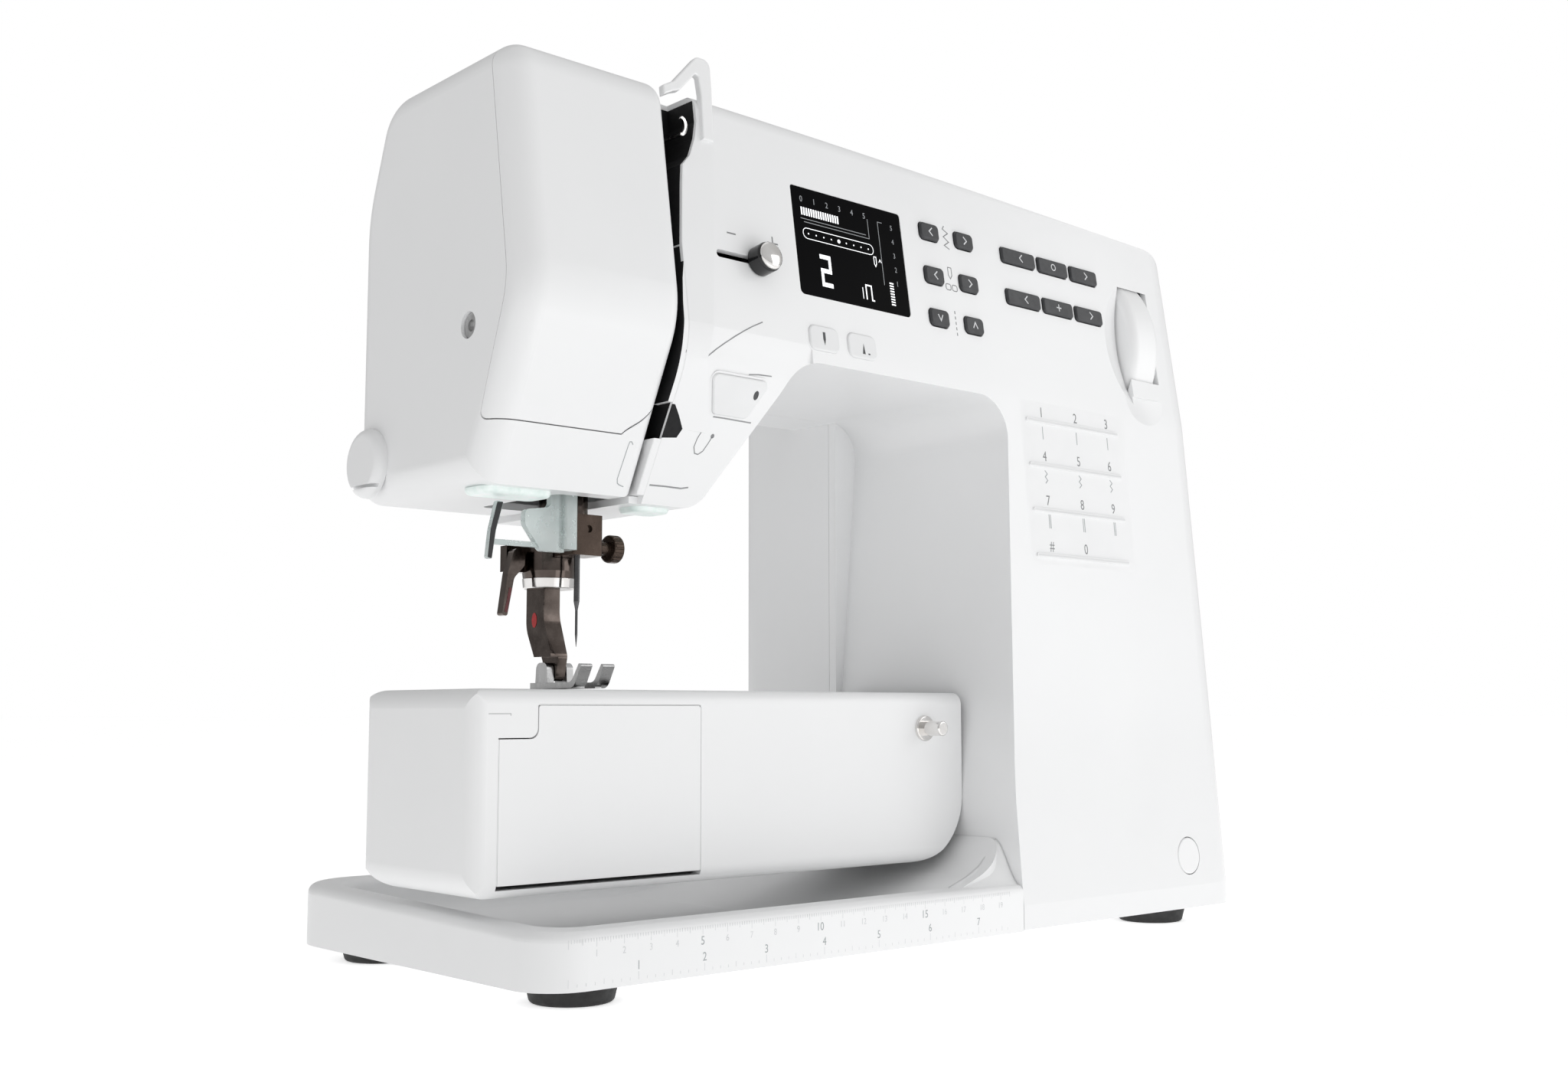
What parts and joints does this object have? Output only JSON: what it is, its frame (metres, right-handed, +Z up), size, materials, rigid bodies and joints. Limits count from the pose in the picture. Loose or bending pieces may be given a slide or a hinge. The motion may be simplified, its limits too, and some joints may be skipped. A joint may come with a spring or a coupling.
{
  "type": "sewing machine",
  "caption": "White free-arm sewing machine with a bulging head, leaning control panel with display and push buttons, hand wheel, presser foot and a troughed base.",
  "frame": {"origin": "middle of the machine's box in plan, on the table under its feet", "axes": "+X along the machine from the head to the hand wheel, +Y from the user to the back, +Z up"},
  "size_m": [0.371, 0.165, 0.3152],
  "materials": {
    "white_plastic": "satin",
    "dark_buttons": "satin",
    "display_black": "gloss",
    "chrome": "polished",
    "steel": "satin",
    "cast_metal": "matt",
    "belt_rubber": "matt",
    "foot_rubber": "matt",
    "motor_metal": "satin",
    "lens": "clear",
    "threader_plastic": "satin",
    "black_plastic": "satin"
  },
  "bodies": {
    "machine": {"base_tray": "white_plastic", "rubber_feet": "foot_rubber", "front_shell": "white_plastic", "rear_shell": "white_plastic", "head_cover": "white_plastic", "face_cover": "white_plastic", "take_up_guard": "white_plastic", "thread_cutter": "white_plastic", "lamp_lens": "lens", "display_window": "display_black", "keypad_membrane": "white_plastic", "free_arm_shell": "white_plastic", "needle_plate": "steel", "table_stud": "chrome", "casing_screws": "steel", "power_inlet": "black_plastic", "cast_frame": "cast_metal", "motor": "motor_metal", "timing_belt": "belt_rubber", "drive_belt": "belt_rubber", "bobbin_case": "steel", "spool_pin": "black_plastic"},
    "main_drive": {"main_shaft": "steel", "hand_wheel": "white_plastic"},
    "hook_drive": {"lower_shaft": "steel", "rotary_hook": "steel"},
    "motor_rotor": {"motor_pulley": "motor_metal"},
    "bobbin_reel": {"bobbin": "threader_plastic"},
    "needle_carrier": {"needle_bar": "chrome", "needle_clamp": "chrome", "needle": "steel"},
    "needle_screw": {"clamp_screw": "chrome"},
    "presser": {"presser_bar": "chrome", "presser_foot": "chrome"},
    "sole": {"foot_sole": "chrome"},
    "foot_lever": {"foot_clamp_lever": "chrome"},
    "threader": {"needle_threader": "threader_plastic"},
    "take_up": {"take_up_lever": "chrome"},
    "lifter": {"lifter_lever": "white_plastic"},
    "door": {"hook_door": "white_plastic"},
    "feed": {"feed_dog": "steel"},
    "feed_drop": {"feed_drop_button": "white_plastic"},
    "handle": {"carry_handle": "white_plastic"},
    "rocker": {"power_switch": "black_plastic"},
    "slider": {"speed_slider": "chrome"},
    "reverse": {"reverse_button": "white_plastic"},
    "width_down_key": {"width_down_button": "dark_buttons"},
    "width_up_key": {"width_up_button": "dark_buttons"},
    "length_down_key": {"length_down_button": "dark_buttons"},
    "length_up_key": {"length_up_button": "dark_buttons"},
    "needle_left_key": {"needle_left_button": "dark_buttons"},
    "needle_right_key": {"needle_right_button": "dark_buttons"},
    "memory_back_key": {"memory_back_button": "dark_buttons"},
    "memory_store_key": {"memory_store_button": "dark_buttons"},
    "memory_next_key": {"memory_next_button": "dark_buttons"},
    "alphabet_back_key": {"alphabet_back_button": "dark_buttons"},
    "alphabet_key": {"alphabet_button": "dark_buttons"},
    "alphabet_next_key": {"alphabet_next_button": "dark_buttons"},
    "needle_stop_key": {"needle_stop_button": "white_plastic"},
    "securing_key": {"securing_button": "white_plastic"}
  },
  "joints": [
    {"name": "hand_wheel_turn", "type": "hinge", "parent": "machine", "child": "main_drive", "pos_m": [0.1345, -0.0225, 0.246], "axis": [1, 0, 0], "continuous": true},
    {"name": "hook_turn", "type": "hinge", "parent": "machine", "child": "hook_drive", "pos_m": [-0.1385, -0.0225, 0.062], "axis": [1, 0, 0], "continuous": true},
    {"name": "motor_turn", "type": "hinge", "parent": "machine", "child": "motor_rotor", "pos_m": [0.0965, 0.0435, 0.072], "axis": [1, 0, 0], "continuous": true},
    {"name": "bobbin_turn", "type": "hinge", "parent": "machine", "child": "bobbin_reel", "pos_m": [-0.1415, -0.0225, 0.062], "axis": [1, 0, 0], "continuous": true},
    {"name": "needle_bar_stroke", "type": "slide", "parent": "machine", "child": "needle_carrier", "axis": [0, 0, 1], "range_m": [-0.031, 0]},
    {"name": "needle_screw_turn", "type": "hinge", "parent": "needle_carrier", "child": "needle_screw", "pos_m": [-0.1105, -0.0175, 0.1449], "axis": [1, 0, 0], "continuous": true},
    {"name": "lifter_swing", "type": "hinge", "parent": "machine", "child": "lifter", "pos_m": [-0.1243, 0.0255, 0.193], "axis": [1, 0, 0], "range_deg": [0, 50]},
    {"name": "presser_lift", "type": "slide", "parent": "machine", "child": "presser", "axis": [0, 0, 1], "range_m": [0, 0.009]},
    {"name": "sole_tilt", "type": "hinge", "parent": "presser", "child": "sole", "pos_m": [-0.125, -0.0063, 0.1024], "axis": [-1, 0, 0], "range_deg": [0, 4]},
    {"name": "foot_lever_swing", "type": "hinge", "parent": "presser", "child": "foot_lever", "pos_m": [-0.1385, -0.0015, 0.141], "axis": [0, 1, 0], "range_deg": [0, 55]},
    {"name": "threader_pull", "type": "slide", "parent": "machine", "child": "threader", "axis": [0, 0, 1], "range_m": [-0.025, 0], "stiffness_N_per_m": 25, "springref_m": 0.012},
    {"name": "take_up_swing", "type": "hinge", "parent": "machine", "child": "take_up", "pos_m": [-0.116, -0.0085, 0.266], "axis": [1, 0, 0], "range_deg": [0, 56]},
    {"name": "door_swing", "type": "hinge", "parent": "machine", "child": "door", "pos_m": [-0.1368, -0.0499, 0.0386], "axis": [1, 0, 0], "range_deg": [0, 75]},
    {"name": "feed_drop_press", "type": "slide", "parent": "machine", "child": "feed_drop", "axis": [0, 0.9967, -0.0812], "range_m": [0, 0.003], "stiffness_N_per_m": 250, "springref_m": -0.003},
    {"name": "feed_dog_drop", "type": "slide", "parent": "machine", "child": "feed", "axis": [0, 0, 1], "range_m": [-0.003, 0]},
    {"name": "handle_fold", "type": "hinge", "parent": "machine", "child": "handle", "pos_m": [0.0225, 0.01, 0.29], "axis": [-1, 0, 0], "range_deg": [0, 100]},
    {"name": "rocker_tilt", "type": "hinge", "parent": "machine", "child": "rocker", "pos_m": [0.171, 0.0395, 0.066], "axis": [0, 1, 0], "range_deg": [0, 14]},
    {"name": "speed_slide", "type": "slide", "parent": "machine", "child": "slider", "axis": [1, 0, 0], "range_m": [-0.013, 0.002]},
    {"name": "reverse_press", "type": "slide", "parent": "machine", "child": "reverse", "axis": [0, 0.8843, 0.4669], "range_m": [0, 0.002], "stiffness_N_per_m": 400, "springref_m": -0.002},
    {"name": "width_down_press", "type": "slide", "parent": "machine", "child": "width_down_key", "axis": [0, 0.9894, -0.1451], "range_m": [0, 0.001], "stiffness_N_per_m": 500, "springref_m": -0.001},
    {"name": "width_up_press", "type": "slide", "parent": "machine", "child": "width_up_key", "axis": [0, 0.9894, -0.1451], "range_m": [0, 0.001], "stiffness_N_per_m": 500, "springref_m": -0.001},
    {"name": "length_down_press", "type": "slide", "parent": "machine", "child": "length_down_key", "axis": [0, 0.9894, -0.1451], "range_m": [0, 0.001], "stiffness_N_per_m": 500, "springref_m": -0.001},
    {"name": "length_up_press", "type": "slide", "parent": "machine", "child": "length_up_key", "axis": [0, 0.9894, -0.1451], "range_m": [0, 0.001], "stiffness_N_per_m": 500, "springref_m": -0.001},
    {"name": "needle_left_press", "type": "slide", "parent": "machine", "child": "needle_left_key", "axis": [0, 0.9894, -0.1451], "range_m": [0, 0.001], "stiffness_N_per_m": 500, "springref_m": -0.001},
    {"name": "needle_right_press", "type": "slide", "parent": "machine", "child": "needle_right_key", "axis": [0, 0.9894, -0.1451], "range_m": [0, 0.001], "stiffness_N_per_m": 500, "springref_m": -0.001},
    {"name": "memory_back_press", "type": "slide", "parent": "machine", "child": "memory_back_key", "axis": [0, 0.9894, -0.1451], "range_m": [0, 0.001], "stiffness_N_per_m": 500, "springref_m": -0.001},
    {"name": "memory_store_press", "type": "slide", "parent": "machine", "child": "memory_store_key", "axis": [0, 0.9894, -0.1451], "range_m": [0, 0.001], "stiffness_N_per_m": 500, "springref_m": -0.001},
    {"name": "memory_next_press", "type": "slide", "parent": "machine", "child": "memory_next_key", "axis": [0, 0.9894, -0.1451], "range_m": [0, 0.001], "stiffness_N_per_m": 500, "springref_m": -0.001},
    {"name": "alphabet_back_press", "type": "slide", "parent": "machine", "child": "alphabet_back_key", "axis": [0, 0.9894, -0.1451], "range_m": [0, 0.001], "stiffness_N_per_m": 500, "springref_m": -0.001},
    {"name": "alphabet_press", "type": "slide", "parent": "machine", "child": "alphabet_key", "axis": [0, 0.9894, -0.1451], "range_m": [0, 0.001], "stiffness_N_per_m": 500, "springref_m": -0.001},
    {"name": "alphabet_next_press", "type": "slide", "parent": "machine", "child": "alphabet_next_key", "axis": [0, 0.9894, -0.1451], "range_m": [0, 0.001], "stiffness_N_per_m": 500, "springref_m": -0.001},
    {"name": "needle_stop_press", "type": "slide", "parent": "machine", "child": "needle_stop_key", "axis": [0, 0.9894, -0.1451], "range_m": [0, 0.001], "stiffness_N_per_m": 500, "springref_m": -0.001},
    {"name": "securing_press", "type": "slide", "parent": "machine", "child": "securing_key", "axis": [0, 0.9894, -0.1451], "range_m": [0, 0.001], "stiffness_N_per_m": 500, "springref_m": -0.001}
  ],
  "couplings": [
    {"joint": "hook_turn", "follows": "hand_wheel_turn", "ratio": 2},
    {"joint": "motor_turn", "follows": "hand_wheel_turn", "ratio": 5},
    {"joint": "lifter_swing", "follows": "presser_lift", "rad_per_m": 96.9},
    {"joint": "feed_dog_drop", "follows": "feed_drop_press", "ratio": -1}
  ]
}
